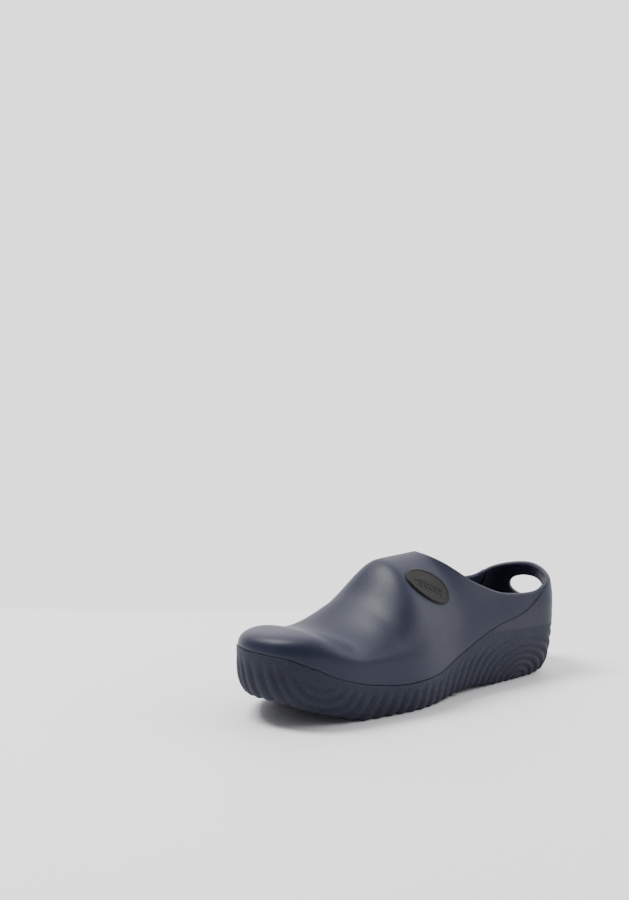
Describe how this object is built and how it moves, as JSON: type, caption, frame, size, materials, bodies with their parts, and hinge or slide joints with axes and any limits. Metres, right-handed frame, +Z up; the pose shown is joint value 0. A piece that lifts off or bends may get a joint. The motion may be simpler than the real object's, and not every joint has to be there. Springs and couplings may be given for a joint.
{
  "type": "rubber garden clog",
  "caption": "Left-foot moulded garden clog: closed vamp, cut-away heel with an oval hole, wave-ribbed wedge sole and a loose footbed.",
  "frame": {"origin": "on the floor, under the middle of the clog's bounding box", "axes": "+Z up, -Y towards the toe, +Y towards the heel, +X towards the outer (lateral) side of the left foot"},
  "size_m": [0.1042, 0.2698, 0.0981],
  "materials": {
    "sole_rubber": "matt navy, leather-grained, with moulded wave ribs",
    "upper_rubber": "smooth satin navy",
    "badge": "matt black, finely grained",
    "footbed_foam": "closed-cell foam",
    "footbed_cloth": "woven lining cloth"
  },
  "bodies": {
    "shell": {"sole_unit": "sole_rubber", "upper_shell": "upper_rubber", "side_badge": "badge"},
    "footbed": {"footbed_core": "footbed_foam", "footbed_cover": "footbed_cloth"}
  },
  "joints": [
    {"name": "footbed_lift", "type": "hinge", "parent": "shell", "child": "footbed", "pos_m": [0, -0.129, 0.026], "axis": [1, 0, 0], "range_deg": [0, 6]}
  ]
}
